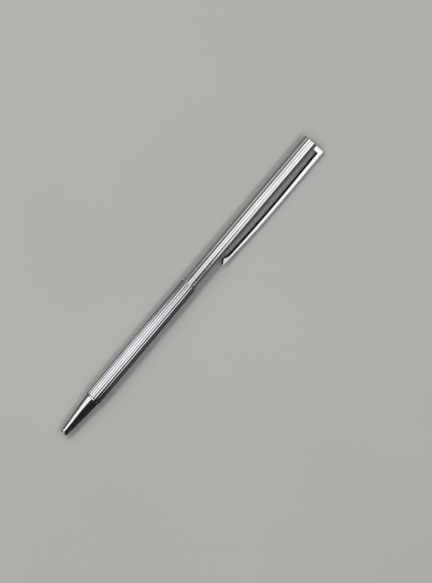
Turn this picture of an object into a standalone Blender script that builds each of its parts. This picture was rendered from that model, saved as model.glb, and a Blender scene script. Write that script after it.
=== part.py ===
"""A slim twist-action ballpoint pen, lying on a surface with its clip turned down onto it.

Every piece is modelled on the pen's own axis, with z measured from the nose end towards the crown and x
towards the clip. One empty then lays that axis along world +X, at the height and roll at which the pen rests.
Radii build up from the refill outwards, and stations build up from the nose end.
"""

import math

import bmesh
import bpy
from mathutils import Matrix, Vector

MM = 0.001

# Lengths that show, from the nose end to the crown
NOSE_LENGTH = 16.1 * MM
BARREL_LENGTH = 53.7 * MM
RING_LENGTH = 0.4 * MM
CAP_LENGTH = 67.3 * MM

# Gaps between pieces fixed together, between seated faces, in sliding fits, and where pieces turn past others
FIT_GAP = 0.03 * MM
SEAT_GAP = 0.05 * MM
RUN_GAP = 0.05 * MM
TURN_GAP = 0.1 * MM

# Working motion
STROKE = 4.5 * MM
TWIST = math.radians(180)

# Refill
REFILL_RADIUS = 1.5 * MM
REFILL_WALL = 0.25 * MM
REFILL_CLEARANCE = 0.15 * MM
RETRACTED = 1.2 * MM
TIP_RADIUS = 0.9 * MM
TIP_LENGTH = 18.7 * MM
TIP_TAPER_LENGTH = 2.6 * MM
TIP_WALL = 0.05 * MM
TIP_FLANGE = 0.5 * MM
SHANK_LENGTH = 4.0 * MM
INK_CHANNEL_RADIUS = 0.2 * MM
INK_HEADSPACE = 4.0 * MM
BALL_RADIUS = 0.5 * MM
BALL_PLAY = 0.05 * MM
BALL_RIM_ANGLE = math.radians(33)
PLUG_FLANGE = 1.2 * MM
VENT_RADIUS = 0.35 * MM

# Nose cone and its bush
NOSE_END_WALL = 0.42 * MM
NOSE_STEP = 0.15 * MM
NOSE_BULGE = 0.05 * MM
NOSE_ROUNDING = 1.0 * MM
NOSE_LIP = 0.1 * MM
SPRING_BORE_DEPTH = 7.0 * MM
SPIGOT_WALL = 0.35 * MM
SPIGOT_LENGTH = 6.0 * MM
NOSE_BUSH_LENGTH = 6.4 * MM

# Return spring
SPRING_WIRE_RADIUS = 0.15 * MM
SPRING_TURNS = 12

# Barrel and the trim ring at its upper end
BARREL_WALL = 0.4 * MM
BARREL_FLUTES = 20
BARREL_TURN = math.radians(-4)
LOWER_TAPER_LENGTH = 0.9 * MM
LOWER_END_WALL = 0.1 * MM
JOINT_BUSH_LENGTH = 9.5 * MM
JOINT_BUSH_WALL = 0.54 * MM
RING_RECESS = 0.15 * MM

# Twist mechanism
HOUSING_WALL = 0.4 * MM
HOUSING_ROOT = 9.0 * MM
LINER_LENGTH = 6.0 * MM
FRICTION_SIDE_GAP = 0.35 * MM
SLEEVE_WALL = 0.47 * MM
SLEEVE_BELOW_STROKE = 7.5 * MM
SLEEVE_ABOVE_PIN = 6.0 * MM
RETAINER_LENGTH = 1.0 * MM
PIN_RADIUS = 0.45 * MM
FOLLOWER_LENGTH = 22.4 * MM
FOLLOWER_ABOVE_PIN = 2.5 * MM
PIP_LENGTH = 0.8 * MM

# Cap
CAP_WALL = 0.35 * MM
CAP_FLUTES = 16

# Flutes and rims of both tubes
FLUTE_DEPTH = 0.1 * MM
FLUTE_LAND = 0.15 * MM
PLAIN_RIM = 0.2 * MM
RIM_CHAMFER = 0.12 * MM

# Crown
CROWN_DISC = 0.85 * MM
CROWN_CHAMFER = 0.15 * MM
CROWN_SCREW_RADIUS = 0.6 * MM
CROWN_SCREW_LENGTH = 5.0 * MM
CROWN_BUSH_LENGTH = 6.0 * MM

# Clip
CLIP_WIDTH = 2.0 * MM
CLIP_LENGTH = 54.4 * MM
CLIP_BELOW_CROWN = 0.05 * MM
CLIP_TONGUE = 0.9 * MM
CLIP_GAP = 1.88 * MM
CLIP_BEND_LENGTH = 35.0 * MM
CLIP_THICK_AT_LEG = 1.38 * MM
CLIP_THICK_AT_FOOT = 0.8 * MM
CLIP_THICK_AT_END = 0.4 * MM
CLIP_FOOT_GAP = 0.58 * MM
CLIP_FOOT_DEPTH = 0.67 * MM
CLIP_FOOT_FROM_END = 1.8 * MM
CLIP_FOOT_RUN = 1.9 * MM
CLIP_EDGE = 0.15 * MM

# Facets
ROUND_STEPS = 32
BARREL_STEPS = 2 * BARREL_FLUTES
CAP_STEPS = 2 * CAP_FLUTES
FLUTE_STEPS = 48
HOLE_STEPS = 16
ARC_STEPS = 5
LOOP_STEPS = 10
RIM_STEPS = 2
NOSE_STEPS = 5
BEND_STEPS = 8
EDGE_STEPS = 2
SLOT_STEPS = 28
COIL_STEPS = 10
BALL_STEPS = 16
WELD = 0.001 * MM
EDGE_ANGLE = math.radians(40)
SMOOTH_ANGLE = math.radians(32)

# How many times what it cuts a cutter measures, so that it comes out on the far side
OVERCUT = 2

# Radii, from the refill outwards
REFILL_BORE = REFILL_RADIUS - REFILL_WALL
SHANK_RADIUS = REFILL_BORE - FIT_GAP
SOCKET_RADIUS = BALL_RADIUS + BALL_PLAY
SPRING_BORE = REFILL_RADIUS + REFILL_CLEARANCE
SPRING_RADIUS = (SPRING_BORE + TIP_RADIUS) / 2
SPIGOT_RADIUS = SPRING_BORE + SPIGOT_WALL
HOUSING_BORE = REFILL_RADIUS + REFILL_CLEARANCE
HOUSING_RADIUS = HOUSING_BORE + HOUSING_WALL
HOUSING_SEAT = HOUSING_RADIUS + FIT_GAP
SLEEVE_BORE = HOUSING_RADIUS + RUN_GAP
SLEEVE_RADIUS = SLEEVE_BORE + SLEEVE_WALL
CAP_BORE = SLEEVE_RADIUS + FIT_GAP
CAP_RADIUS = CAP_BORE + CAP_WALL
RING_RADIUS = CAP_RADIUS - RING_RECESS
FRICTION_WIRE_RADIUS = (CAP_BORE - HOUSING_RADIUS) / 2 - FIT_GAP
BUSH_RADIUS = HOUSING_SEAT + JOINT_BUSH_WALL
BARREL_BORE = BUSH_RADIUS + FIT_GAP
BARREL_RADIUS = BARREL_BORE + BARREL_WALL
LOWER_END_RADIUS = BARREL_BORE + LOWER_END_WALL
NOSE_BASE_RADIUS = LOWER_END_RADIUS - NOSE_STEP
NOSE_HOLE_RADIUS = TIP_RADIUS + TURN_GAP
NOSE_END_RADIUS = NOSE_HOLE_RADIUS + NOSE_END_WALL
CLIP_OUTER = CAP_RADIUS + CLIP_GAP + CLIP_THICK_AT_LEG
CLIP_FOOT = CAP_RADIUS + CLIP_FOOT_GAP
CLIP_END_OUTER = CLIP_FOOT + CLIP_FOOT_DEPTH + CLIP_THICK_AT_FOOT

# Stations along the pen
BARREL_START = NOSE_LENGTH + FIT_GAP
BARREL_END = BARREL_START + BARREL_LENGTH
RING_START = BARREL_END + FIT_GAP
CAP_START = RING_START + RING_LENGTH + TURN_GAP
PEN_LENGTH = CAP_START + CAP_LENGTH
HOUSING_START = RING_START - HOUSING_ROOT
LINER_START = CAP_START + SEAT_GAP
FRICTION_STATION = LINER_START + LINER_LENGTH + FRICTION_SIDE_GAP + FRICTION_WIRE_RADIUS
SLEEVE_START = FRICTION_STATION + FRICTION_WIRE_RADIUS + FRICTION_SIDE_GAP
PIN_STATION = SLEEVE_START + SLEEVE_BELOW_STROKE + STROKE
SLEEVE_END = PIN_STATION + SLEEVE_ABOVE_PIN
RETAINER_START = SLEEVE_END + TURN_GAP
HOUSING_END = RETAINER_START + RETAINER_LENGTH
FOLLOWER_END = PIN_STATION + FOLLOWER_ABOVE_PIN
FOLLOWER_START = FOLLOWER_END - FOLLOWER_LENGTH
PLUG_START = FOLLOWER_START - SEAT_GAP - PLUG_FLANGE
REFILL_END = PLUG_START - SEAT_GAP
BALL_STATION = RETRACTED + BALL_RADIUS
BALL_ABOVE_RIM = SOCKET_RADIUS * math.sin(BALL_RIM_ANGLE)
TIP_START = BALL_STATION - BALL_ABOVE_RIM
FLANGE_START = TIP_START + TIP_LENGTH
REFILL_START = FLANGE_START + TIP_FLANGE + SEAT_GAP
INK_START = REFILL_START + SHANK_LENGTH + SEAT_GAP
INK_END = REFILL_END - SHANK_LENGTH - INK_HEADSPACE
CLIP_END = PEN_LENGTH - CLIP_BELOW_CROWN
CLIP_START = CLIP_END - CLIP_LENGTH
TONGUE_END = PEN_LENGTH - CROWN_DISC - SEAT_GAP
LEG_START = TONGUE_END - CLIP_TONGUE


def new_collection(name):
    collection = bpy.data.collections.new(name)
    bpy.context.scene.collection.children.link(collection)
    return collection


def finish(name, colour, roughness, metallic):
    """A plain Principled material in the piece's own colour."""
    material = bpy.data.materials.new(name)
    material.use_nodes = True
    shader = material.node_tree.nodes["Principled BSDF"]
    shader.inputs["Base Color"].default_value = (*colour, 1)
    shader.inputs["Roughness"].default_value = roughness
    shader.inputs["Metallic"].default_value = metallic
    return material


def add_part(name, data, group, material, station=0):
    """One piece of the pen, on the axis of the group that it moves with."""
    part = bpy.data.objects.new(name, data)
    part.parent = group
    part.location.z = station
    data.materials.append(material)
    pen.objects.link(part)
    return part


def add_cutter(name, mesh, station=0):
    cutter = bpy.data.objects.new(name, mesh)
    cutter.parent = axis
    cutter.location.z = station
    cutter.hide_render = True
    cutter.display_type = "WIRE"
    cutters.objects.link(cutter)
    return cutter


def cut(part, cutter):
    boolean = part.modifiers.new(cutter.name, "BOOLEAN")
    boolean.object = cutter
    boolean.operation = "DIFFERENCE"
    boolean.solver = "EXACT"


def turned(name, profile, group, material, station=0, steps=ROUND_STEPS):
    """A piece turned from (radius, height) points that run down its outer side and up its bore."""
    mesh = bpy.data.meshes.new(name)
    count = len(profile)
    solid = profile[0][0] == 0
    edges = [(i, (i + 1) % count) for i in range(count - solid)]
    mesh.from_pydata([(radius, 0, height) for radius, height in profile], edges, [])
    part = add_part(name, mesh, group, material, station)
    screw = part.modifiers.new("turning", "SCREW")
    screw.axis = "Z"
    screw.steps = steps
    screw.render_steps = steps
    screw.use_merge_vertices = True
    screw.merge_threshold = WELD
    return part


def tube_profile(outer, bore, length, chamfer=0):
    """The section of a plain tube, with its outer edges broken where a chamfer is given."""
    inside = [(bore, 0), (bore, length)]
    if not chamfer:
        return [(outer, length), (outer, 0)] + inside
    outside = [(outer - chamfer, length), (outer, length - chamfer), (outer, chamfer), (outer - chamfer, 0)]
    return outside + inside


def arc(centre, radii, start, end, steps=ARC_STEPS):
    """Points on an ellipse about centre, from one angle to another, both ends included."""
    turn = (end - start) / steps
    angles = [start + turn * i for i in range(steps + 1)]
    return [(centre[0] + radii[0] * math.cos(a), centre[1] + radii[1] * math.sin(a)) for a in angles]


def bowed(start, end, bulge, steps):
    """Points from start to end along a shallow bow that stands out by bulge at its middle."""
    points = []
    for i in range(steps + 1):
        share = i / steps
        radius = start[0] + (end[0] - start[0]) * share + 4 * bulge * share * (1 - share)
        points.append((radius, start[1] + (end[1] - start[1]) * share))
    return points


def round_cutter(name, radius, length, places, steps):
    """A cutter of one cylinder of this radius and length at each place."""
    mesh = bpy.data.meshes.new(name)
    shape = bmesh.new()
    for place in places:
        bmesh.ops.create_cone(
            shape, cap_ends=True, segments=steps, radius1=radius, radius2=radius, depth=length, matrix=place
        )
    shape.to_mesh(mesh)
    shape.free()
    return add_cutter(name, mesh)


def box_cutter(name, low, high):
    mesh = bpy.data.meshes.new(name)
    shape = bmesh.new()
    size = Vector(high) - Vector(low)
    middle = (Vector(high) + Vector(low)) / 2
    bmesh.ops.create_cube(shape, size=1, matrix=Matrix.Translation(middle) @ Matrix.Diagonal((*size, 1)))
    shape.to_mesh(mesh)
    shape.free()
    return add_cutter(name, mesh)


def flute(part, count, radius, start, end, land):
    """Cuts a ring of hollow flutes between two stations, with the middle of one land at the given angle."""
    pitch = 2 * math.pi / count
    half_opening = (pitch - FLUTE_LAND / radius) / 2
    floor = radius - FLUTE_DEPTH
    # The cutter's circle passes through the edges of both lands and touches the floor of the flute
    centre = (radius**2 - floor**2) / (2 * (radius * math.cos(half_opening) - floor))
    places = []
    for i in range(count):
        turn = Matrix.Rotation(land + (i + 0.5) * pitch, 4, "Z")
        places.append(turn @ Matrix.Translation((centre, 0, (start + end) / 2)))
    cut(part, round_cutter(f"{part.name}_flutes", centre - floor, end - start, places, FLUTE_STEPS))


def helical_bar(name, width, overrun, phase):
    """A cutter that follows the drive pin round the turning cap: a bar wound down the axis."""
    mesh = bpy.data.meshes.new(name)
    shape = bmesh.new()
    fall = STROKE / TWIST
    inner = SLEEVE_BORE / OVERCUT
    outer = SLEEVE_RADIUS * OVERCUT
    corners = [(inner, -width / 2), (outer, -width / 2), (outer, width / 2), (inner, width / 2)]
    section = shape.faces.new([shape.verts.new((x, 0, z + fall * overrun)) for x, z in corners])
    sweep = TWIST + 2 * overrun
    bmesh.ops.spin(
        shape,
        geom=[section],
        cent=(0, 0, 0),
        axis=(0, 0, 1),
        dvec=(0, 0, -fall * sweep / SLOT_STEPS),
        angle=sweep,
        steps=SLOT_STEPS,
    )
    bmesh.ops.recalc_face_normals(shape, faces=shape.faces)
    shape.to_mesh(mesh)
    shape.free()
    cutter = add_cutter(name, mesh, PIN_STATION)
    cutter.rotation_euler.z = phase - overrun
    return cutter


def make_nose_cone():
    cone = bowed((NOSE_BASE_RADIUS, NOSE_LENGTH), (NOSE_END_RADIUS, NOSE_ROUNDING), NOSE_BULGE, NOSE_STEPS)
    lip = NOSE_HOLE_RADIUS + NOSE_LIP
    radii = (NOSE_END_RADIUS - lip, NOSE_ROUNDING)
    rounding = arc((lip, NOSE_ROUNDING), radii, 0, -math.pi / 2)
    top = NOSE_LENGTH + SPIGOT_LENGTH
    profile = [(SPIGOT_RADIUS, top), (SPIGOT_RADIUS, NOSE_LENGTH)] + cone + rounding[1:]
    profile += [
        (NOSE_HOLE_RADIUS, NOSE_LIP),
        (NOSE_HOLE_RADIUS, SPRING_BORE_DEPTH),
        (SPRING_BORE, SPRING_BORE_DEPTH),
        (SPRING_BORE, top),
    ]
    turned("nose_cone", profile, barrel, polished)


def make_barrel():
    profile = [
        (BARREL_RADIUS - RIM_CHAMFER, BARREL_LENGTH),
        (BARREL_RADIUS, BARREL_LENGTH - RIM_CHAMFER),
        (BARREL_RADIUS, LOWER_TAPER_LENGTH),
        (LOWER_END_RADIUS, 0),
        (BARREL_BORE, 0),
        (BARREL_BORE, BARREL_LENGTH),
    ]
    tube = turned("barrel_tube", profile, barrel, plated, BARREL_START, BARREL_STEPS)
    land = underside + BARREL_TURN
    tube.rotation_euler.z = land
    flute(tube, BARREL_FLUTES, BARREL_RADIUS, BARREL_START - PLAIN_RIM, BARREL_END - PLAIN_RIM, land)
    bush = tube_profile(BUSH_RADIUS, SPIGOT_RADIUS + FIT_GAP, NOSE_BUSH_LENGTH)
    turned("nose_bush", bush, barrel, brass, BARREL_START)
    bush = tube_profile(BUSH_RADIUS, HOUSING_SEAT, JOINT_BUSH_LENGTH)
    turned("joint_bush", bush, barrel, brass, BARREL_END - JOINT_BUSH_LENGTH)
    ring = tube_profile(RING_RADIUS, HOUSING_SEAT, RING_LENGTH, RIM_CHAMFER)
    turned("centre_ring", ring, barrel, polished, RING_START)


def make_mechanism():
    body = tube_profile(HOUSING_RADIUS, HOUSING_BORE, HOUSING_END - HOUSING_START)
    housing = turned("mechanism_housing", body, barrel, brass, HOUSING_START)
    half_slot = PIN_RADIUS + RUN_GAP
    across = HOUSING_RADIUS * OVERCUT
    low = (-across, -half_slot, PIN_STATION - STROKE - half_slot)
    high = (across, half_slot, PIN_STATION + half_slot)
    cut(housing, box_cutter("straight_slots", low, high))
    retainer = tube_profile(CAP_BORE - TURN_GAP, HOUSING_SEAT, RETAINER_LENGTH)
    turned("retaining_ring", retainer, barrel, steel, RETAINER_START)
    middle = ((HOUSING_RADIUS + CAP_BORE) / 2, 0)
    wire = (FRICTION_WIRE_RADIUS, FRICTION_WIRE_RADIUS)
    loop = arc(middle, wire, 0, -2 * math.pi, LOOP_STEPS)
    turned("friction_ring", loop[:-1], barrel, rubber, FRICTION_STATION)


def make_cam_sleeve():
    body = tube_profile(SLEEVE_RADIUS, SLEEVE_BORE, SLEEVE_END - SLEEVE_START)
    sleeve = turned("cam_sleeve", body, cap, brass, SLEEVE_START)
    # The slots slope, most of all at the bore, so their width along the axis is more than the pin's
    slope = math.atan(STROKE / TWIST / SLEEVE_BORE)
    width = 2 * (PIN_RADIUS + RUN_GAP) / math.cos(slope)
    overrun = math.asin((PIN_RADIUS + TURN_GAP) / SLEEVE_BORE)
    cut(sleeve, helical_bar("helical_slot_near", width, overrun, 0))
    cut(sleeve, helical_bar("helical_slot_far", width, overrun, math.pi))


def make_cap():
    profile = tube_profile(CAP_RADIUS, CAP_BORE, CAP_LENGTH, RIM_CHAMFER)
    tube = turned("cap_tube", profile, cap, plated, CAP_START, CAP_STEPS)
    # The clip's leg comes out through the middle of a flute
    land = math.pi / CAP_FLUTES
    tube.rotation_euler.z = land
    flute(tube, CAP_FLUTES, CAP_RADIUS, CAP_START + PLAIN_RIM, PEN_LENGTH - PLAIN_RIM, land)
    half_notch = CLIP_WIDTH / 2 + FIT_GAP
    low = (0, -half_notch, LEG_START - SEAT_GAP)
    high = (CAP_RADIUS * OVERCUT, half_notch, PEN_LENGTH * OVERCUT)
    cut(tube, box_cutter("clip_notch", low, high))
    liner = tube_profile(SLEEVE_RADIUS, SLEEVE_BORE, LINER_LENGTH)
    turned("cap_liner", liner, cap, nylon, LINER_START)
    bush = tube_profile(SLEEVE_RADIUS, CROWN_SCREW_RADIUS + FIT_GAP, CROWN_BUSH_LENGTH)
    turned("crown_bush", bush, cap, brass, LEG_START - SEAT_GAP - CROWN_BUSH_LENGTH)
    disc = CAP_BORE - SEAT_GAP
    screw = [
        (0, 0),
        (disc - CROWN_CHAMFER, 0),
        (disc, -CROWN_CHAMFER),
        (disc, CROWN_CHAMFER - CROWN_DISC),
        (disc - CROWN_CHAMFER, -CROWN_DISC),
        (CROWN_SCREW_RADIUS, -CROWN_DISC),
        (CROWN_SCREW_RADIUS, -CROWN_DISC - CROWN_SCREW_LENGTH),
        (0, -CROWN_DISC - CROWN_SCREW_LENGTH),
    ]
    turned("crown_screw", screw, cap, polished, PEN_LENGTH)


def clip_outline():
    """The clip seen from the side, as (distance from the pen's axis, station) points."""
    outside = []
    inside = []
    bend_end = CLIP_START + CLIP_BEND_LENGTH
    foot = CLIP_START + CLIP_FOOT_FROM_END
    bar_start = foot + CLIP_FOOT_RUN
    stations = [bar_start + (bend_end - bar_start) * i / BEND_STEPS for i in range(BEND_STEPS + 1)]
    for station in stations + [LEG_START]:
        left = max(0, (bend_end - station) / CLIP_BEND_LENGTH)
        outer = CLIP_OUTER - (CLIP_OUTER - CLIP_END_OUTER) * left**2
        share = (station - bar_start) / (LEG_START - bar_start)
        thickness = CLIP_THICK_AT_FOOT + (CLIP_THICK_AT_LEG - CLIP_THICK_AT_FOOT) * share
        outside.append((outer, station))
        inside.append((outer - thickness, station))
    # Past the tongue's corners the cap's bore is round, which limits how far the tongue can reach
    reach = math.sqrt((CAP_BORE - TURN_GAP) ** 2 - (CLIP_WIDTH / 2) ** 2)
    outline = [(-reach, LEG_START)] + inside[::-1]
    outline += [(CLIP_FOOT, foot), (CLIP_END_OUTER - CLIP_THICK_AT_END, CLIP_START)]
    outline += [(CLIP_END_OUTER, CLIP_START)]
    # Above its bend the bar runs straight up to the crown, so its outside needs no point at the leg
    outline += outside[:-1]
    outline += [(CLIP_OUTER, CLIP_END), (CAP_BORE, CLIP_END), (CAP_BORE, TONGUE_END)]
    return outline + [(-reach, TONGUE_END)]


def make_clip():
    mesh = bpy.data.meshes.new("clip")
    shape = bmesh.new()
    side = [shape.verts.new((reach, -CLIP_WIDTH / 2, station)) for reach, station in clip_outline()]
    grown = bmesh.ops.extrude_face_region(shape, geom=[shape.faces.new(side)])
    far_side = [item for item in grown["geom"] if isinstance(item, bmesh.types.BMVert)]
    bmesh.ops.translate(shape, verts=far_side, vec=(0, CLIP_WIDTH, 0))
    bmesh.ops.recalc_face_normals(shape, faces=shape.faces)
    shape.to_mesh(mesh)
    shape.free()
    clip = add_part("clip", mesh, cap, polished)
    edge = clip.modifiers.new("broken_edges", "BEVEL")
    edge.width = CLIP_EDGE
    edge.segments = EDGE_STEPS
    edge.limit_method = "ANGLE"
    edge.angle_limit = EDGE_ANGLE
    eye = Matrix.Translation((0, 0, (LEG_START + TONGUE_END) / 2))
    depth = CLIP_TONGUE * OVERCUT
    cut(clip, round_cutter("clip_eye", CROWN_SCREW_RADIUS + FIT_GAP, depth, [eye], ROUND_STEPS))


def make_refill():
    rim = SOCKET_RADIUS + TIP_WALL
    throat_angle = math.acos(INK_CHANNEL_RADIUS / SOCKET_RADIUS)
    centre = (0, BALL_ABOVE_RIM)
    around = arc(centre, (rim, rim), 0, -math.asin(BALL_ABOVE_RIM / rim), RIM_STEPS)
    seat = arc(centre, (SOCKET_RADIUS, SOCKET_RADIUS), -BALL_RIM_ANGLE, throat_angle, LOOP_STEPS)
    flange_end = TIP_LENGTH + TIP_FLANGE
    top = flange_end + SEAT_GAP + SHANK_LENGTH
    profile = [
        (SHANK_RADIUS, top),
        (SHANK_RADIUS, flange_end),
        (REFILL_RADIUS, flange_end),
        (REFILL_RADIUS, TIP_LENGTH),
        (TIP_RADIUS, TIP_LENGTH),
        (TIP_RADIUS, TIP_TAPER_LENGTH),
    ]
    profile += around + seat + [(INK_CHANNEL_RADIUS, top)]
    turned("refill_tip", profile, refill, steel, TIP_START)
    tube = tube_profile(REFILL_RADIUS, REFILL_BORE, REFILL_END - REFILL_START)
    turned("refill_tube", tube, refill, brass, REFILL_START)
    length = INK_END - INK_START
    column = [(0, length), (SHANK_RADIUS, length), (SHANK_RADIUS, 0), (0, 0)]
    turned("ink_column", column, refill, ink, INK_START)
    plug = [
        (REFILL_RADIUS, PLUG_FLANGE),
        (REFILL_RADIUS, 0),
        (SHANK_RADIUS, 0),
        (SHANK_RADIUS, -SEAT_GAP - SHANK_LENGTH),
        (VENT_RADIUS, -SEAT_GAP - SHANK_LENGTH),
        (VENT_RADIUS, PLUG_FLANGE),
    ]
    turned("refill_plug", plug, refill, nylon, PLUG_START)
    mesh = bpy.data.meshes.new("writing_ball")
    shape = bmesh.new()
    bmesh.ops.create_uvsphere(shape, u_segments=BALL_STEPS, v_segments=BALL_STEPS // 2, radius=BALL_RADIUS)
    shape.to_mesh(mesh)
    shape.free()
    add_part("writing_ball", mesh, ball, steel)


def make_follower():
    length = FOLLOWER_END - FOLLOWER_START
    radius = HOUSING_BORE - RUN_GAP
    pip = VENT_RADIUS - RUN_GAP
    body = [(0, length), (radius, length), (radius, 0), (pip, 0), (pip, -PIP_LENGTH), (0, -PIP_LENGTH)]
    follower = turned("follower", body, refill, brass, FOLLOWER_START)
    turn = Matrix.Rotation(math.pi / 2, 4, "Y")
    place = Matrix.Translation((0, 0, PIN_STATION)) @ turn
    cut(follower, round_cutter("pin_hole", PIN_RADIUS + FIT_GAP, 2 * radius * OVERCUT, [place], HOLE_STEPS))
    mesh = bpy.data.meshes.new("drive_pin")
    shape = bmesh.new()
    bmesh.ops.create_cone(
        shape,
        cap_ends=True,
        segments=HOLE_STEPS,
        radius1=PIN_RADIUS,
        radius2=PIN_RADIUS,
        depth=2 * (SLEEVE_RADIUS - RUN_GAP),
        matrix=turn,
    )
    shape.to_mesh(mesh)
    shape.free()
    add_part("drive_pin", mesh, refill, steel, PIN_STATION)


def make_spring():
    start = SPRING_BORE_DEPTH + SEAT_GAP + SPRING_WIRE_RADIUS
    end = FLANGE_START - SEAT_GAP - SPRING_WIRE_RADIUS
    count = SPRING_TURNS * COIL_STEPS
    points = []
    for i in range(count + 1):
        turn = 2 * math.pi * i / COIL_STEPS
        height = start + (end - start) * i / count
        points.append(Vector((SPRING_RADIUS * math.cos(turn), SPRING_RADIUS * math.sin(turn), height)))
    curve = bpy.data.curves.new("return_spring", "CURVE")
    curve.dimensions = "3D"
    curve.bevel_depth = SPRING_WIRE_RADIUS
    curve.bevel_resolution = 1
    curve.use_fill_caps = True
    spline = curve.splines.new("POLY")
    spline.points.add(count)
    for place, point in zip(spline.points, points):
        place.co = (*point, 1)
    add_part("return_spring", curve, barrel, steel)
    apart = [(a - b).length for i, a in enumerate(points) for b in points[i + COIL_STEPS // 2 :]]
    print(f"return_spring: least gap between turns {(min(apart) - 2 * SPRING_WIRE_RADIUS) / MM:.2f} mm")


def shade_round_pieces():
    """Settles each piece's modifiers into its mesh, then shades it smooth between its sharp edges."""
    bpy.context.view_layer.update()
    graph = bpy.context.evaluated_depsgraph_get()
    solids = [part for part in pen.objects if part.type == "MESH"]
    settled = [bpy.data.meshes.new_from_object(part.evaluated_get(graph)) for part in solids]
    for part, mesh in zip(solids, settled):
        part.modifiers.clear()
        part.data = mesh
        mesh.shade_smooth()
        mesh.set_sharp_from_angle(angle=SMOOTH_ANGLE)


for leftover in list(bpy.data.objects):
    bpy.data.objects.remove(leftover)

pen = new_collection("ballpoint_pen")
cutters = new_collection("ballpoint_pen_cutters")

polished = finish("polished_chrome", (0.83, 0.84, 0.86), 0.06, 1)
plated = finish("fluted_chrome", (0.80, 0.81, 0.83), 0.14, 1)
brass = finish("brass", (0.78, 0.60, 0.28), 0.3, 1)
steel = finish("steel", (0.62, 0.63, 0.65), 0.25, 1)
nylon = finish("nylon", (0.88, 0.87, 0.82), 0.5, 0)
rubber = finish("rubber", (0.03, 0.03, 0.03), 0.8, 0)
ink = finish("ink", (0.01, 0.015, 0.12), 0.4, 0)

# The pen rests on a land of its barrel, and rolls until the lower corner of the clip, rounded by its edge,
# meets the surface
rest_height = BARREL_RADIUS * math.cos(BARREL_TURN)
corner = Vector((CLIP_OUTER - CLIP_EDGE, CLIP_WIDTH / 2 - CLIP_EDGE))
roll = math.asin((rest_height - CLIP_EDGE) / corner.length) - math.atan2(corner.y, corner.x)
underside = math.pi / 2 - roll
clip_side = corner.x * math.cos(roll) + corner.y * math.sin(roll) + CLIP_EDGE

axis = bpy.data.objects.new("pen_axis", None)
pen.objects.link(axis)
clip_way = Vector((0, -math.cos(roll), -math.sin(roll)))
along = Vector((1, 0, 0))
across = along.cross(clip_way)
axis.rotation_euler = Matrix((clip_way, across, along)).transposed().to_euler()
axis.location = (-PEN_LENGTH / 2, (clip_side - rest_height) / 2, rest_height)

groups = []
for group_name in ("barrel_group", "cap_group", "refill_group", "ball_group"):
    group = bpy.data.objects.new(group_name, None)
    group.parent = axis
    pen.objects.link(group)
    groups.append(group)
barrel, cap, refill, ball = groups
ball.location.z = BALL_STATION

make_nose_cone()
make_barrel()
make_mechanism()
make_cam_sleeve()
make_cap()
make_clip()
make_refill()
make_follower()
make_spring()
shade_round_pieces()
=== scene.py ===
import math

import bmesh
import bpy
from mathutils import Matrix, Vector


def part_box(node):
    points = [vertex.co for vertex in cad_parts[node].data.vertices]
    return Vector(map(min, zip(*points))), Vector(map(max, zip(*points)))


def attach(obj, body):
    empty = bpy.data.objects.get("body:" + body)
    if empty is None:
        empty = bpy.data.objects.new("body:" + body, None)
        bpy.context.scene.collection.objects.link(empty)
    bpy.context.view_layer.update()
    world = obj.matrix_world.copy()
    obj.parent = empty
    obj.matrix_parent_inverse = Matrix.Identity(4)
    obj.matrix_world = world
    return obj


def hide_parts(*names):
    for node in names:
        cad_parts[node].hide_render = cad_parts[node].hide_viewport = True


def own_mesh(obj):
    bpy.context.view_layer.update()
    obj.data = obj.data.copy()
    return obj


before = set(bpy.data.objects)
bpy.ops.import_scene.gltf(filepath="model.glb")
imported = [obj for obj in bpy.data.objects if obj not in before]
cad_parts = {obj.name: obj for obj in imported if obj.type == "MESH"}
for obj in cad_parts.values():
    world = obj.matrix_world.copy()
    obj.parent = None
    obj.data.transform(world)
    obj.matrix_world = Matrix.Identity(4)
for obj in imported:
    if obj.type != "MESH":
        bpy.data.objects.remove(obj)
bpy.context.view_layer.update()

# How the pen lies
# It rests on its barrel and on the lower corner of its clip. Each piece is made upright on the pen's
# axis, with z from the nose end and x towards the clip, and this matrix then lays it where the solids are.
MM = 0.001
nose_low, nose_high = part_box("nose_cone")
nose_end = Vector((nose_low.x, (nose_low.y + nose_high.y) / 2, (nose_low.z + nose_high.z) / 2))
clip_reach = 6.21 * MM
clip_width = 2.0 * MM
clip_edge = 0.15 * MM
corner = Vector((clip_reach - clip_edge, clip_width / 2 - clip_edge))
roll = math.asin((nose_end.z - clip_edge) / corner.length) - math.atan2(corner.y, corner.x)
clip_way = Vector((0, -math.cos(roll), -math.sin(roll)))
along = Vector((1, 0, 0))
across = along.cross(clip_way)
lay = Matrix.Translation(nose_end) @ Matrix((clip_way, across, along)).transposed().to_4x4()

# Nose cone
# A turned and plated brass cone with a drilled, rounded end. Its spigot screws into the bush in the
# barrel, and its bore holds the return spring.
cone_start = 1.0 * MM
cone_end = 16.1 * MM
spigot_end = 22.1 * MM
cone_base = 2.6 * MM
cone_tip = 1.42 * MM
cone_bulge = 0.05 * MM
cone_edge = 0.06 * MM
nose_hole = 1.0 * MM
nose_lip = 0.1 * MM
spring_bore = 1.65 * MM
spring_seat = 7.0 * MM
spigot = 2.0 * MM


def turned(profile, steps=160):
    """A shape spun from (radius, height) points that go once round its section."""
    shape = bmesh.new()
    points = [shape.verts.new((radius, 0, height)) for radius, height in profile]
    section = [shape.edges.new(pair) for pair in zip(points, points[1:] + points[:1])]
    bmesh.ops.spin(
        shape,
        geom=points + section,
        cent=(0, 0, 0),
        axis=(0, 0, 1),
        angle=2 * math.pi,
        steps=steps,
        use_merge=True,
    )
    weld = 0.0002 * MM
    bmesh.ops.remove_doubles(shape, verts=shape.verts, dist=weld)
    bmesh.ops.dissolve_degenerate(shape, edges=shape.edges, dist=weld)
    bmesh.ops.recalc_face_normals(shape, faces=shape.faces)
    return shape


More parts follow.
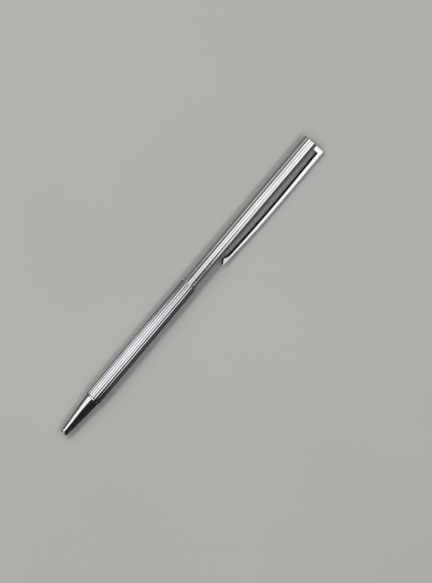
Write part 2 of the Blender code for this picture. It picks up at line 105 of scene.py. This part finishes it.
def set_on_pen(name, shape, body, node, material, crease=30):
    """Lays a shape on the pen in place of its solid, smooth except at edges sharper than the crease."""
    mesh = bpy.data.meshes.new(name)
    shape.to_mesh(mesh)
    shape.free()
    mesh.transform(lay)
    mesh.shade_smooth()
    mesh.set_sharp_from_angle(angle=math.radians(crease))
    mesh.materials.append(material)
    piece = bpy.data.objects.new(name, mesh)
    bpy.context.scene.collection.objects.link(piece)
    even = piece.modifiers.new("even_normals", "WEIGHTED_NORMAL")
    even.keep_sharp = True
    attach(piece, body)
    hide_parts(node)
    return piece


def rounded(centre, radii, start, end, steps):
    """Points on an ellipse from one angle to another, in degrees."""
    points = []
    for i in range(steps + 1):
        angle = math.radians(start + (end - start) * i / steps)
        points.append((centre[0] + radii[0] * math.cos(angle), centre[1] + radii[1] * math.sin(angle)))
    return points


def blank(name):
    """A new material, with its node tree and its shader."""
    material = bpy.data.materials.new(name)
    material.use_nodes = True
    tree = material.node_tree
    return material, tree, tree.nodes["Principled BSDF"]


def from_axis(tree):
    """Where a point of the pen lies, measured from the pen's axis."""
    place = tree.nodes.new("ShaderNodeTexCoord")
    centred = tree.nodes.new("ShaderNodeMapping")
    centred.inputs["Location"].default_value = (0, -nose_end.y, -nose_end.z)
    tree.links.new(place.outputs["Object"], centred.inputs["Vector"])
    return centred.outputs["Vector"]


def stretched(tree, place, scale, turn=(0, 0, 0)):
    """A place scaled unevenly and then turned, so that noise on it is drawn out to lines."""
    drawn = tree.nodes.new("ShaderNodeMapping")
    drawn.inputs["Rotation"].default_value = turn
    drawn.inputs["Scale"].default_value = scale
    tree.links.new(place, drawn.inputs["Vector"])
    return drawn.outputs["Vector"]


def noise(tree, place, scale, detail, roughness=0.5):
    """Cloudy values over a place, finer for a larger scale."""
    texture = tree.nodes.new("ShaderNodeTexNoise")
    texture.inputs["Scale"].default_value = scale
    texture.inputs["Detail"].default_value = detail
    texture.inputs["Roughness"].default_value = roughness
    tree.links.new(place, texture.inputs["Vector"])
    return texture.outputs["Fac"]


def ramp(tree, value, start, end, low=0, high=1):
    """Goes from low to high while a value goes from start to end."""
    span = tree.nodes.new("ShaderNodeMapRange")
    span.inputs["From Min"].default_value = start
    span.inputs["From Max"].default_value = end
    span.inputs["To Min"].default_value = low
    span.inputs["To Max"].default_value = high
    tree.links.new(value, span.inputs["Value"])
    return span.outputs["Result"]


def blend(tree, share, colour, other_colour):
    """Goes from one colour to another by a share."""
    shade = tree.nodes.new("ShaderNodeMix")
    shade.data_type = "RGBA"
    shade.inputs["A"].default_value = (*colour, 1)
    shade.inputs["B"].default_value = (*other_colour, 1)
    tree.links.new(share, shade.inputs["Factor"])
    return shade.outputs["Result"]


def raise_skin(tree, shader, height, depth):
    """Lets a height, times a depth, bend the light on the surface."""
    bump = tree.nodes.new("ShaderNodeBump")
    bump.inputs["Strength"].default_value = 1
    bump.inputs["Distance"].default_value = depth
    tree.links.new(height, bump.inputs["Height"])
    tree.links.new(bump.outputs["Normal"], shader.inputs["Normal"])


def metal(name, colour, worn_colour, roughness, worn_roughness, grain, depth):
    """Bare or plated metal, with a fine drawn-out grain, cloudy wear and a few hairline scratches."""
    material, tree, shader = blank(name)
    shader.inputs["Metallic"].default_value = 1
    centred = from_axis(tree)
    lines = noise(tree, stretched(tree, centred, grain), 1, 4, 0.65)
    clouds = noise(tree, centred, 320, 5, 0.6)
    hair_grain = (140, 5200, 1900)
    hair_turn = (0.3, 0.5, 0.7)
    hairs = noise(tree, stretched(tree, centred, hair_grain, hair_turn), 1, 2)
    wear = tree.nodes.new("ShaderNodeMath")
    wear.operation = "MULTIPLY"
    tree.links.new(clouds, wear.inputs[0])
    tree.links.new(lines, wear.inputs[1])
    scratched = tree.nodes.new("ShaderNodeMath")
    scratched.operation = "MULTIPLY_ADD"
    scratched.use_clamp = True
    scratched.inputs[1].default_value = 0.6
    tree.links.new(ramp(tree, hairs, 0.66, 0.74), scratched.inputs[0])
    tree.links.new(ramp(tree, wear.outputs["Value"], 0.12, 0.42), scratched.inputs[2])
    worn = scratched.outputs["Value"]
    tree.links.new(blend(tree, worn, colour, worn_colour), shader.inputs["Base Color"])
    tree.links.new(ramp(tree, worn, 0, 1, roughness, worn_roughness), shader.inputs["Roughness"])
    raise_skin(tree, shader, lines, depth)
    return material


# Grain runs round the cone, as the lathe and the buff left it
turned_chrome = metal(
    "turned_chrome", (0.67, 0.67, 0.665), (0.58, 0.575, 0.56), 0.05, 0.16, (9000, 500, 500), 0.0012 * MM
)
cone_steps = 24
cone = []
for step in range(cone_steps + 1):
    share = step / cone_steps
    bow = 4 * cone_bulge * share * (1 - share)
    station = cone_end - cone_edge - (cone_end - cone_edge - cone_start) * share
    cone.append((cone_base - (cone_base - cone_tip) * share + bow, station))
end_crest = nose_hole + nose_lip
end_round = rounded((end_crest, cone_start), (cone_tip - end_crest, cone_start), 0, -90, 10)
hole_round = rounded((end_crest, nose_lip), (nose_lip, nose_lip), -90, -180, 4)
profile = [(spigot, spigot_end), (spigot, cone_end), (cone_base - cone_edge, cone_end)] + cone
profile += end_round[1:] + hole_round[1:]
profile += [(nose_hole, spring_seat), (spring_bore, spring_seat), (spring_bore, spigot_end)]
set_on_pen("nose_shell", turned(profile), "barrel", "nose_cone", turned_chrome)

# Barrel tube
# Drawn brass tube, rolled to shallow hollow flutes with narrow lands between them and then plated. A
# short taper leads down to the nose cone, and the flutes run out through the chamfer of the upper rim.
barrel_start = 16.13 * MM
barrel_length = 53.7 * MM
barrel_radius = 3.05 * MM
barrel_bore = 2.65 * MM
barrel_flutes = 20
barrel_turn = math.radians(4)
barrel_land = math.pi / 2 - roll - barrel_turn
barrel_taper = 0.9 * MM
taper_to_floor = 0.6 * MM
barrel_lower_end = 2.75 * MM
flute_depth = 0.1 * MM
flute_land = 0.15 * MM
flute_points = 18
rim_chamfer = 0.12 * MM


def fluted_tube(radius, flutes, land, start, rings):
    """A tube drawn through (radius, height, depth of flute) rings, up its outside and down its bore."""
    pitch = 2 * math.pi / flutes
    half_open = (pitch - flute_land / radius) / 2
    floor = radius - flute_depth
    centre = (radius**2 - floor**2) / (2 * (radius * math.cos(half_open) - floor))
    cutter = centre - floor
    shape = bmesh.new()
    loop = bmesh.ops.create_circle(shape, segments=flutes * flute_points, radius=radius)["verts"]
    edges = list(shape.edges)
    first = edges
    for number, (ring_radius, height, depth) in enumerate(rings):
        if number:
            grown = bmesh.ops.extrude_edge_only(shape, edges=edges)["geom"]
            loop = [item for item in grown if isinstance(item, bmesh.types.BMVert)]
            edges = [item for item in grown if isinstance(item, bmesh.types.BMEdge)]
            ends = set(loop)
            edges = [edge for edge in edges if edge.verts[0] in ends and edge.verts[1] in ends]
        for vert in loop:
            angle = math.atan2(vert.co.y, vert.co.x)
            off = (angle - land) % pitch - pitch / 2
            sunk = 0
            if abs(off) < half_open:
                back = math.sqrt(cutter**2 - (centre * math.sin(off)) ** 2)
                sunk = radius - (centre * math.cos(off) - back)
            reach = ring_radius - sunk * depth / flute_depth
            vert.co = (reach * math.cos(angle), reach * math.sin(angle), start + height)
    bmesh.ops.bridge_loops(shape, edges=first + edges)
    bmesh.ops.recalc_face_normals(shape, faces=shape.faces)
    return shape


def shade_flute_floors(material, floor, land, first):
    """Darkens the floors of the flutes with painted shade, from a first place along the pen on, but not
    the lands.
    """
    fade = 0.2 * MM
    tree = material.node_tree
    centred = from_axis(tree)
    radial = tree.nodes.new("ShaderNodeVectorMath")
    radial.operation = "MULTIPLY"
    radial.inputs[1].default_value = (0, 1, 1)
    tree.links.new(centred, radial.inputs[0])
    distance = tree.nodes.new("ShaderNodeVectorMath")
    distance.operation = "LENGTH"
    tree.links.new(radial.outputs["Vector"], distance.inputs[0])
    along_pen = tree.nodes.new("ShaderNodeSeparateXYZ")
    tree.links.new(centred, along_pen.inputs["Vector"])
    floor_shade = ramp(tree, distance.outputs["Value"], land, floor)
    floor_shade.node.interpolation_type = "SMOOTHSTEP"
    tree.links.new(ramp(tree, along_pen.outputs["X"], first, first + fade), floor_shade.node.inputs["To Max"])
    shader = tree.nodes["Principled BSDF"]
    clean = shader.inputs["Base Color"].links[0].from_socket
    # Painted shade: the base colour is multiplied darker in the flute floors.
    shade = tree.nodes.new("ShaderNodeMix")
    shade.data_type = "RGBA"
    shade.blend_type = "MULTIPLY"
    shade.inputs["B"].default_value = (0.52, 0.51, 0.495, 1)
    tree.links.new(floor_shade, shade.inputs["Factor"])
    tree.links.new(clean, shade.inputs["A"])
    tree.links.new(shade.outputs["Result"], shader.inputs["Base Color"])


# Grain runs along the tube, as it was drawn
barrel_chrome = metal(
    "barrel_chrome", (0.67, 0.67, 0.665), (0.57, 0.56, 0.545), 0.06, 0.2, (120, 6500, 6500), 0.001 * MM
)
first_flute = nose_end.x + barrel_start + taper_to_floor
# The barrel's flute floors get painted shade.
shade_flute_floors(barrel_chrome, barrel_radius - flute_depth, barrel_radius, first_flute)
barrel_rings = [
    (barrel_lower_end, 0, 0),
    (barrel_radius - flute_depth, taper_to_floor, 0),
    (barrel_radius, barrel_taper, flute_depth),
    (barrel_radius, barrel_length - rim_chamfer, flute_depth),
    (barrel_radius - flute_depth, barrel_length - rim_chamfer + flute_depth, 0),
    (barrel_radius - rim_chamfer, barrel_length, 0),
    (barrel_bore, barrel_length, 0),
    (barrel_bore, 0, 0),
]
barrel_shape = fluted_tube(barrel_radius, barrel_flutes, barrel_land, barrel_start, barrel_rings)
set_on_pen("barrel_shell", barrel_shape, "barrel", "barrel_tube", barrel_chrome, 40)

# Bushes in the barrel
# Turned brass, pressed into the two ends of the tube. One takes the nose cone's thread, and the other
# carries the mechanism.
turned_brass = metal(
    "turned_brass", (0.78, 0.60, 0.28), (0.52, 0.37, 0.15), 0.22, 0.42, (8000, 600, 600), 0.002 * MM
)


def dress(node, material):
    """Gives a solid that stays as it is its finish."""
    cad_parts[node].data.materials.clear()
    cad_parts[node].data.materials.append(material)


dress("nose_bush", turned_brass)
dress("joint_bush", turned_brass)

# Centre ring
# A narrow plated ring, turned from bar and trapped between the two halves of the pen.
ring_start = 69.86 * MM
ring_length = 0.4 * MM
ring_radius = 2.8 * MM
ring_bore = 2.08 * MM
ring_edge = 0.12 * MM
ring_end = ring_start + ring_length
edge_centre = ring_radius - ring_edge
lower_edge = rounded((edge_centre, ring_start + ring_edge), (ring_edge, ring_edge), 0, -90, 4)
upper_edge = rounded((edge_centre, ring_end - ring_edge), (ring_edge, ring_edge), 90, 0, 4)
profile = upper_edge + lower_edge + [(ring_bore, ring_start), (ring_bore, ring_end)]
set_on_pen("ring_shell", turned(profile), "barrel", "centre_ring", turned_chrome)

# Twist mechanism
# A slotted brass housing stands up from the barrel into the cap, with a steel ring to keep the cap on
# and a rubber ring for drag. The cam sleeve and the nylon bearing turn round it with the cap.
drawn_steel = metal(
    "drawn_steel", (0.62, 0.62, 0.63), (0.42, 0.41, 0.40), 0.18, 0.36, (7000, 700, 700), 0.0015 * MM
)


def moulded(name, colour, dark_colour, roughness, dull_roughness, grain, depth):
    """Moulded plastic, rubber or paste: mottled, with a fine skin."""
    material, tree, shader = blank(name)
    place = tree.nodes.new("ShaderNodeTexCoord").outputs["Object"]
    mottle = noise(tree, place, grain, 6)
    tree.links.new(blend(tree, mottle, colour, dark_colour), shader.inputs["Base Color"])
    tree.links.new(ramp(tree, mottle, 0, 1, roughness, dull_roughness), shader.inputs["Roughness"])
    raise_skin(tree, shader, mottle, depth)
    return material


white_nylon = moulded("white_nylon", (0.86, 0.85, 0.80), (0.74, 0.72, 0.66), 0.4, 0.6, 2500, 0.003 * MM)
black_rubber = moulded(
    "black_rubber", (0.030, 0.030, 0.030), (0.018, 0.018, 0.018), 0.6, 0.85, 4000, 0.006 * MM
)
dress("mechanism_housing", turned_brass)
dress("retaining_ring", drawn_steel)
dress("friction_ring", black_rubber)
dress("cam_sleeve", turned_brass)
dress("cap_liner", white_nylon)

# Cap tube
# Drawn and plated like the barrel, with fewer, broader flutes. A notch in the top, in the middle of one
# flute, lets the clip's leg in.
cap_start = 70.36 * MM
cap_length = 67.3 * MM
cap_radius = 2.95 * MM
cap_bore = 2.6 * MM
cap_flutes = 16
cap_land = math.pi / cap_flutes
pen_end = cap_start + cap_length
leg_start = 135.86 * MM
fit_gap = 0.03 * MM
seat_gap = 0.05 * MM


def cut_out(shape, cutter_shape):
    """What is left of a shape when the other one is cut out of it."""
    both = []
    for name, part in (("work", shape), ("cutter", cutter_shape)):
        mesh = bpy.data.meshes.new(name)
        part.to_mesh(mesh)
        part.free()
        both.append(bpy.data.objects.new(name, mesh))
        bpy.context.scene.collection.objects.link(both[-1])
    work, cutter = both
    boolean = work.modifiers.new("cut", "BOOLEAN")
    boolean.object = cutter
    boolean.solver = "EXACT"
    bpy.context.view_layer.update()
    result = bmesh.new()
    result.from_object(work, bpy.context.evaluated_depsgraph_get())
    bpy.data.objects.remove(work)
    bpy.data.objects.remove(cutter)
    return result


cap_chrome = metal(
    "cap_chrome", (0.67, 0.67, 0.665), (0.57, 0.56, 0.545), 0.07, 0.22, (110, 6000, 6000), 0.001 * MM
)
# The cap's flute floors get painted shade.
shade_flute_floors(cap_chrome, cap_radius - flute_depth, cap_radius, nose_end.x + cap_start)
cap_rings = [
    (cap_radius - rim_chamfer, 0, 0),
    (cap_radius - flute_depth, rim_chamfer - flute_depth, 0),
    (cap_radius, rim_chamfer, flute_depth),
    (cap_radius, cap_length - rim_chamfer, flute_depth),
    (cap_radius - flute_depth, cap_length - rim_chamfer + flute_depth, 0),
    (cap_radius - rim_chamfer, cap_length, 0),
    (cap_bore, cap_length, 0),
    (cap_bore, 0, 0),
]
cap_shape = fluted_tube(cap_radius, cap_flutes, cap_land, cap_start, cap_rings)
notch = bmesh.new()
bmesh.ops.create_cube(notch, size=1)
notch_width = clip_width + 2 * fit_gap
notch_depth = pen_end - leg_start + seat_gap
bmesh.ops.scale(notch, verts=notch.verts, vec=(2 * cap_radius, notch_width, 2 * notch_depth))
bmesh.ops.translate(notch, verts=notch.verts, vec=(cap_radius, 0, pen_end))
set_on_pen("cap_shell", cut_out(cap_shape, notch), "cap", "cap_tube", cap_chrome, 40)

# Clip
# One bar of sprung, plated brass, bent to an L: its leg drops into the notch and ends in an eye under the
# crown disc, and its free end curves in to a small foot. Its edges are broken all round.
clip_end = 137.61 * MM
clip_start = 83.21 * MM
bend_end = 118.21 * MM
tongue_end = 136.76 * MM
foot_station = 85.01 * MM
bar_start = 86.91 * MM
clip_end_reach = 5.0 * MM
foot_reach = 3.53 * MM
end_thickness = 0.4 * MM
thick_at_foot = 0.8 * MM
thick_at_leg = 1.38 * MM
eye_radius = 0.63 * MM
eye_cut = 4 * MM
tongue_reach = 2.29 * MM
broken_from = math.radians(25)
bend_steps = 28
stations = [bar_start + (bend_end - bar_start) * step / bend_steps for step in range(bend_steps + 1)]
outside = []
inside = []
for station in stations + [leg_start]:
    left = max(0, (bend_end - station) / (bend_end - clip_start))
    outer = clip_reach - (clip_reach - clip_end_reach) * left**2
    share = (station - bar_start) / (leg_start - bar_start)
    thickness = thick_at_foot + (thick_at_leg - thick_at_foot) * share
    outside.append((outer, station))
    inside.append((outer - thickness, station))
outline = [(-tongue_reach, leg_start)] + inside[::-1] + [(foot_reach, foot_station)]
outline += [(clip_end_reach - end_thickness, clip_start), (clip_end_reach, clip_start)]
outline += outside[:-1] + [(clip_reach, clip_end), (cap_bore, clip_end), (cap_bore, tongue_end)]
outline += [(-tongue_reach, tongue_end)]
bar = bmesh.new()
side = bar.faces.new([bar.verts.new((reach, -clip_width / 2, station)) for reach, station in outline])
grown = bmesh.ops.extrude_face_region(bar, geom=[side])["geom"]
far_side = [item for item in grown if isinstance(item, bmesh.types.BMVert)]
bmesh.ops.translate(bar, verts=far_side, vec=(0, clip_width, 0))
bmesh.ops.recalc_face_normals(bar, faces=bar.faces)
sharp = [edge for edge in bar.edges if edge.calc_face_angle(0) > broken_from]
bmesh.ops.bevel(
    bar,
    geom=sharp,
    offset=clip_edge,
    affect="EDGES",
    segments=4,
    profile=0.5,
    material=-1,
    clamp_overlap=True,
)
eye = bmesh.new()
bmesh.ops.create_cone(
    eye, cap_ends=True, segments=64, radius1=eye_radius, radius2=eye_radius, depth=eye_cut
)
bmesh.ops.translate(eye, verts=eye.verts, vec=(0, 0, (leg_start + tongue_end) / 2))
clip_chrome = metal(
    "clip_chrome", (0.68, 0.68, 0.675), (0.59, 0.58, 0.565), 0.06, 0.2, (160, 4200, 4200), 0.001 * MM
)
set_on_pen("clip_bar", cut_out(bar, eye), "cap", "clip", clip_chrome)

# Crown
# A plated screw, turned with a flat head that fills the mouth of the cap. It is driven into a brass bush
# and clamps the clip's eye onto it.
disc_radius = 2.55 * MM
disc_thickness = 0.85 * MM
disc_edge = 0.15 * MM
screw_radius = 0.6 * MM
screw_length = 5.0 * MM
disc_under = pen_end - disc_thickness
screw_end = disc_under - screw_length
top_edge = rounded((disc_radius - disc_edge, pen_end - disc_edge), (disc_edge, disc_edge), 90, 0, 5)
profile = [(0, pen_end)] + top_edge
profile += [(disc_radius, disc_under + disc_edge), (disc_radius - disc_edge, disc_under)]
profile += [(screw_radius, disc_under), (screw_radius, screw_end), (0, screw_end)]
set_on_pen("crown_disc", turned(profile), "cap", "crown_screw", turned_chrome)
dress("crown_bush", turned_brass)

# Refill
# A brass ink tube closed by a vented nylon plug, with a turned steel tip crimped in. The tip's socket is
# spun over the ball, and its flange takes the spring. A brass follower with a steel cross pin pushes it.
refill_radius = 1.5 * MM
tip_radius = 0.9 * MM
socket_radius = 0.55 * MM
rim_radius = 0.6 * MM
ball_radius = 0.5 * MM
ball_station = 1.7 * MM
rim_angle = 33
tip_taper = 2.6 * MM
tip_length = 18.7 * MM
flange_length = 0.5 * MM
shank_length = 4.05 * MM
tip_start = ball_station - socket_radius * math.sin(math.radians(rim_angle))
tip_taper_end = tip_start + tip_taper
flange_start = tip_start + tip_length
flange_end = flange_start + flange_length
shank_end = flange_end + shank_length
shank_radius = 1.22 * MM
ink_channel = 0.2 * MM
rim_out_angle = -math.degrees(math.asin((ball_station - tip_start) / rim_radius))
throat_angle = math.degrees(math.acos(ink_channel / socket_radius))
profile = [(shank_radius, shank_end), (shank_radius, flange_end), (refill_radius, flange_end)]
profile += [(refill_radius, flange_start), (tip_radius, flange_start), (tip_radius, tip_taper_end)]
profile += rounded((0, ball_station), (rim_radius, rim_radius), 0, rim_out_angle, 6)
profile += rounded((0, ball_station), (socket_radius, socket_radius), -rim_angle, throat_angle, 16)
profile += [(ink_channel, shank_end)]
set_on_pen("tip_holder", turned(profile, 96), "refill", "refill_tip", drawn_steel)
ball = bmesh.new()
bmesh.ops.create_icosphere(ball, subdivisions=4, radius=ball_radius)
bmesh.ops.translate(ball, verts=ball.verts, vec=(0, 0, ball_station))
ground_carbide = metal(
    "ground_carbide", (0.56, 0.56, 0.57), (0.40, 0.40, 0.41), 0.12, 0.3, (6000, 6000, 6000), 0.0005 * MM
)
set_on_pen("point_ball", ball, "ball", "writing_ball", ground_carbide, 180)
blue_paste = moulded(
    "blue_paste", (0.010, 0.015, 0.12), (0.006, 0.008, 0.07), 0.25, 0.45, 1500, 0.004 * MM
)
dress("refill_tube", turned_brass)
dress("refill_plug", white_nylon)
dress("ink_column", blue_paste)
dress("follower", turned_brass)
dress("drive_pin", drawn_steel)

# Return spring
# Hard steel wire, wound in an even coil round the tip. It stands on the shoulder in the nose and pushes
# the flange back, so it shortens as the refill is fed.
wire_radius = 0.15 * MM
coil_radius = 1.275 * MM
coil_turns = 12
turn_steps = 32
coil_steps = coil_turns * turn_steps
spring_low = spring_seat + seat_gap + wire_radius
spring_high = flange_start - seat_gap - wire_radius
coil = bmesh.new()
wire = bmesh.ops.create_circle(coil, cap_ends=True, segments=10, radius=wire_radius)["verts"]
bmesh.ops.rotate(coil, verts=wire, cent=(0, 0, 0), matrix=Matrix.Rotation(math.pi / 2, 3, "X"))
bmesh.ops.translate(coil, verts=wire, vec=(coil_radius, 0, spring_low))
bmesh.ops.spin(
    coil,
    geom=list(coil.faces),
    cent=(0, 0, 0),
    axis=(0, 0, 1),
    dvec=(0, 0, (spring_high - spring_low) / coil_steps),
    angle=2 * math.pi * coil_turns,
    steps=coil_steps,
)
bmesh.ops.recalc_face_normals(coil, faces=coil.faces)
spring = set_on_pen("spring_coil", coil, "barrel", "return_spring", drawn_steel)
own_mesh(spring)

# Table
# A pale, slightly warm sheet of dull card, with a faint fibre and faint patches. It lies flat under the
# pen and goes far beyond the picture on all sides.
sheet_half = 4
sheet_mesh = bpy.data.meshes.new("card_sheet")
sheet_shape = bmesh.new()
bmesh.ops.create_grid(sheet_shape, x_segments=1, y_segments=1, size=sheet_half)
sheet_shape.to_mesh(sheet_mesh)
sheet_shape.free()
sheet = bpy.data.objects.new("card_sheet", sheet_mesh)
bpy.context.scene.collection.objects.link(sheet)
pale_card, tree, shader = blank("pale_card")
shader.inputs["Specular IOR Level"].default_value = 0
shader.inputs["Roughness"].default_value = 1
place = tree.nodes.new("ShaderNodeTexCoord").outputs["Object"]
mixed = tree.nodes.new("ShaderNodeMath")
mixed.operation = "MULTIPLY_ADD"
mixed.inputs[1].default_value = 0.25
tree.links.new(noise(tree, place, 900, 3), mixed.inputs[0])
tree.links.new(noise(tree, place, 9, 2), mixed.inputs[2])
shade = blend(tree, mixed.outputs["Value"], (0.405, 0.403, 0.387), (0.455, 0.453, 0.438))
tree.links.new(shade, shader.inputs["Base Color"])
sheet_mesh.materials.append(pale_card)

# Light
# Four long soft panels, two on either side of the pen, light the sheet. The plating mirrors lit and grey
# cards cut to shape, and dark strips of painted shade that lie beside the pen. The camera sees none of
# them.
panel_length = 1.8
panel_height = 1.2
world = bpy.data.worlds.new("dim_room")
bpy.context.scene.world = world
world.use_nodes = True
world.node_tree.nodes["Background"].inputs["Color"].default_value = (0.024, 0.0235, 0.023, 1)


def soft_panel(name, near, far, radiance):
    """A panel along the pen, from near to far out on the clip's side, that lights only dull surfaces."""
    data = bpy.data.lights.new(name, "AREA")
    data.shape = "RECTANGLE"
    data.size = panel_length
    data.size_y = abs(far - near)
    data.energy = radiance * math.pi * data.size * data.size_y
    panel = bpy.data.objects.new(name, data)
    panel.location = (0, -(near + far) / 2, panel_height)
    panel.visible_camera = False
    panel.visible_glossy = False
    bpy.context.scene.collection.objects.link(panel)


def mirrored_card(name, height, corners, colour):
    """A flat card seen only in reflections. Corners go along the pen and out on the clip's side, in mm."""
    shape = bmesh.new()
    shape.faces.new([shape.verts.new((x * MM, nose_end.y - out * MM, height * MM)) for x, out in corners])
    bmesh.ops.triangulate(shape, faces=shape.faces)
    mesh = bpy.data.meshes.new(name)
    shape.to_mesh(mesh)
    shape.free()
    material, _, shader = blank(name)
    shader.inputs["Base Color"].default_value = (0, 0, 0, 1)
    shader.inputs["Specular IOR Level"].default_value = 0
    shader.inputs["Emission Color"].default_value = (*colour, 1)
    shader.inputs["Emission Strength"].default_value = 1
    mesh.materials.append(material)
    card = bpy.data.objects.new(name, mesh)
    card.visible_camera = False
    card.visible_diffuse = False
    card.visible_shadow = False
    card.visible_transmission = False
    bpy.context.scene.collection.objects.link(card)


def strip(start, end, near, far):
    """The corners of a straight card, from start to end along the pen and from near to far out."""
    return [(start, near), (end, near), (end, far), (start, far)]


soft_panel("left_panel", -0.88, -0.44, 5.3)
soft_panel("left_fill", -2.2, -0.88, 1.7)
soft_panel("right_panel", 0.32, 0.68, 4.3)
soft_panel("right_fill", 0.68, 1.6, 0.6)
# Lit cards above the pen give its bright bands, the lower ones in front of the higher
nose_sky = [(-92, -19), (-97, -60), (-138, -500), (-240, -1500), (-64, -1500), (-64, -9), (-77, -42)]
barrel_left = [(-64, -1500), (-40, -1500), (-34, -700), (-18, -150), (-2, -50), (2, -50)]
barrel_right = [(2, 32), (-3, 78), (-31, 76), (-53, 30), (-64, -1)]
barrel_patch = [(-30, -20), (-2, -8), (2, -8), (2, -50), (-2, -50), (-18, -150)]
cap_left = [(2, -50), (10, -66), (150, -66)]
cap_right = [(150, 146), (40, 146), (26, 110), (18, 70), (12, 40), (2, 32)]
cap_patch = [(6, -56), (46, -62), (54, 0), (44, 90), (28, 100), (18, 60), (8, 30)]
crown_sky = [(30, 110), (70, 10), (150, 10), (150, 146), (34, 146)]
end_sky = [(-108, 45), (-108, -20), (-122, -100), (-170, -230)]
end_sky += [(-225, -230), (-160, -100), (-143, -20), (-143, 45)]
mirrored_card("nose_card", 103, nose_sky, (1.4, 1.4, 1.44))
mirrored_card("barrel_card", 103, barrel_left + barrel_right, (1.73, 1.75, 1.93))
mirrored_card("barrel_dim", 102.5, barrel_patch, (1.36, 1.38, 1.53))
mirrored_card("cap_card", 103, cap_left + cap_right, (1.48, 1.52, 1.66))
mirrored_card("cap_bright", 102.5, cap_patch, (1.8, 1.85, 2.0))
mirrored_card("crown_card", 102, crown_sky, (2.48, 2.53, 2.63))
mirrored_card("foot_card", 101, strip(8, 18, 78, 97), (0.95, 0.96, 0.98))
mirrored_card("clip_card", 101, strip(18, 150, 78, 97), (1.27, 1.285, 1.31))
mirrored_card("end_card", 103, end_sky, (1.28, 1.29, 1.31))
# Grey cards beside them and far out at both ends keep the rest of the plating from going black
mirrored_card("cap_glow", 103, [(14, -66), (24, -150), (150, -150), (150, -66)], (0.54, 0.54, 0.545))
mirrored_card("dim_card", 104, strip(-60, 170, -1200, -45), (0.34, 0.335, 0.325))
mirrored_card("grey_card", 104, strip(-50, 170, 20, 1200), (0.13, 0.128, 0.125))
mirrored_card("nose_wall", 300, strip(-4000, -900, -1600, 1600), (0.5, 0.5, 0.495))
mirrored_card("crown_wall", 300, strip(900, 4000, -1600, 1600), (0.5, 0.5, 0.495))
# Dark strips of painted shade lie on the sheet close to the pen and give its dark bands
mirrored_card("nose_shade", 0.2, strip(-80, -53, -2.6, -30), (0.1, 0.1, 0.1))
mirrored_card("barrel_shade", 0.2, strip(-53, 2, -3, -24), (0.2, 0.2, 0.195))
mirrored_card("nose_shade_strip", 0.2, strip(-80, -53, 2.5, 260), (0.014, 0.014, 0.014))
mirrored_card("barrel_shade_strip", 0.2, strip(-53, 2, 2.5, 260), (0.11, 0.109, 0.107))
mirrored_card("gap_shade_strip", 0.2, [(0, 2.6), (68, 2.6), (68, 5), (20, 5)], (0.012, 0.012, 0.012))

# Camera
# It looks straight down on the pen through a long lens, turned so that the pen climbs to the right. The
# middle of the pen lies a little to the left of the picture's middle and a little above it.
camera_height = 1.6
focal_length = 275.2
pen_right = 0.6451
pen_up = 0.7641
off_right = 10.4 * MM
off_down = 1.6 * MM
view_right = Vector((pen_right, -pen_up, 0))
view_up = Vector((pen_up, pen_right, 0))
pen_middle = lay @ Vector((0, 0, pen_end / 2))
aim = pen_middle + view_right * off_right - view_up * off_down
camera = bpy.data.objects.new("camera", bpy.data.cameras.new("camera"))
camera.data.lens = focal_length
camera.data.sensor_width = 36
facing = Matrix((view_right, view_up, Vector((0, 0, 1)))).transposed().to_4x4()
camera.matrix_world = Matrix.Translation(aim + Vector((0, 0, camera_height))) @ facing
camera.data.clip_start = 0.01
bpy.context.scene.collection.objects.link(camera)
bpy.context.scene.camera = camera
bpy.context.scene.view_settings.view_transform = "Standard"
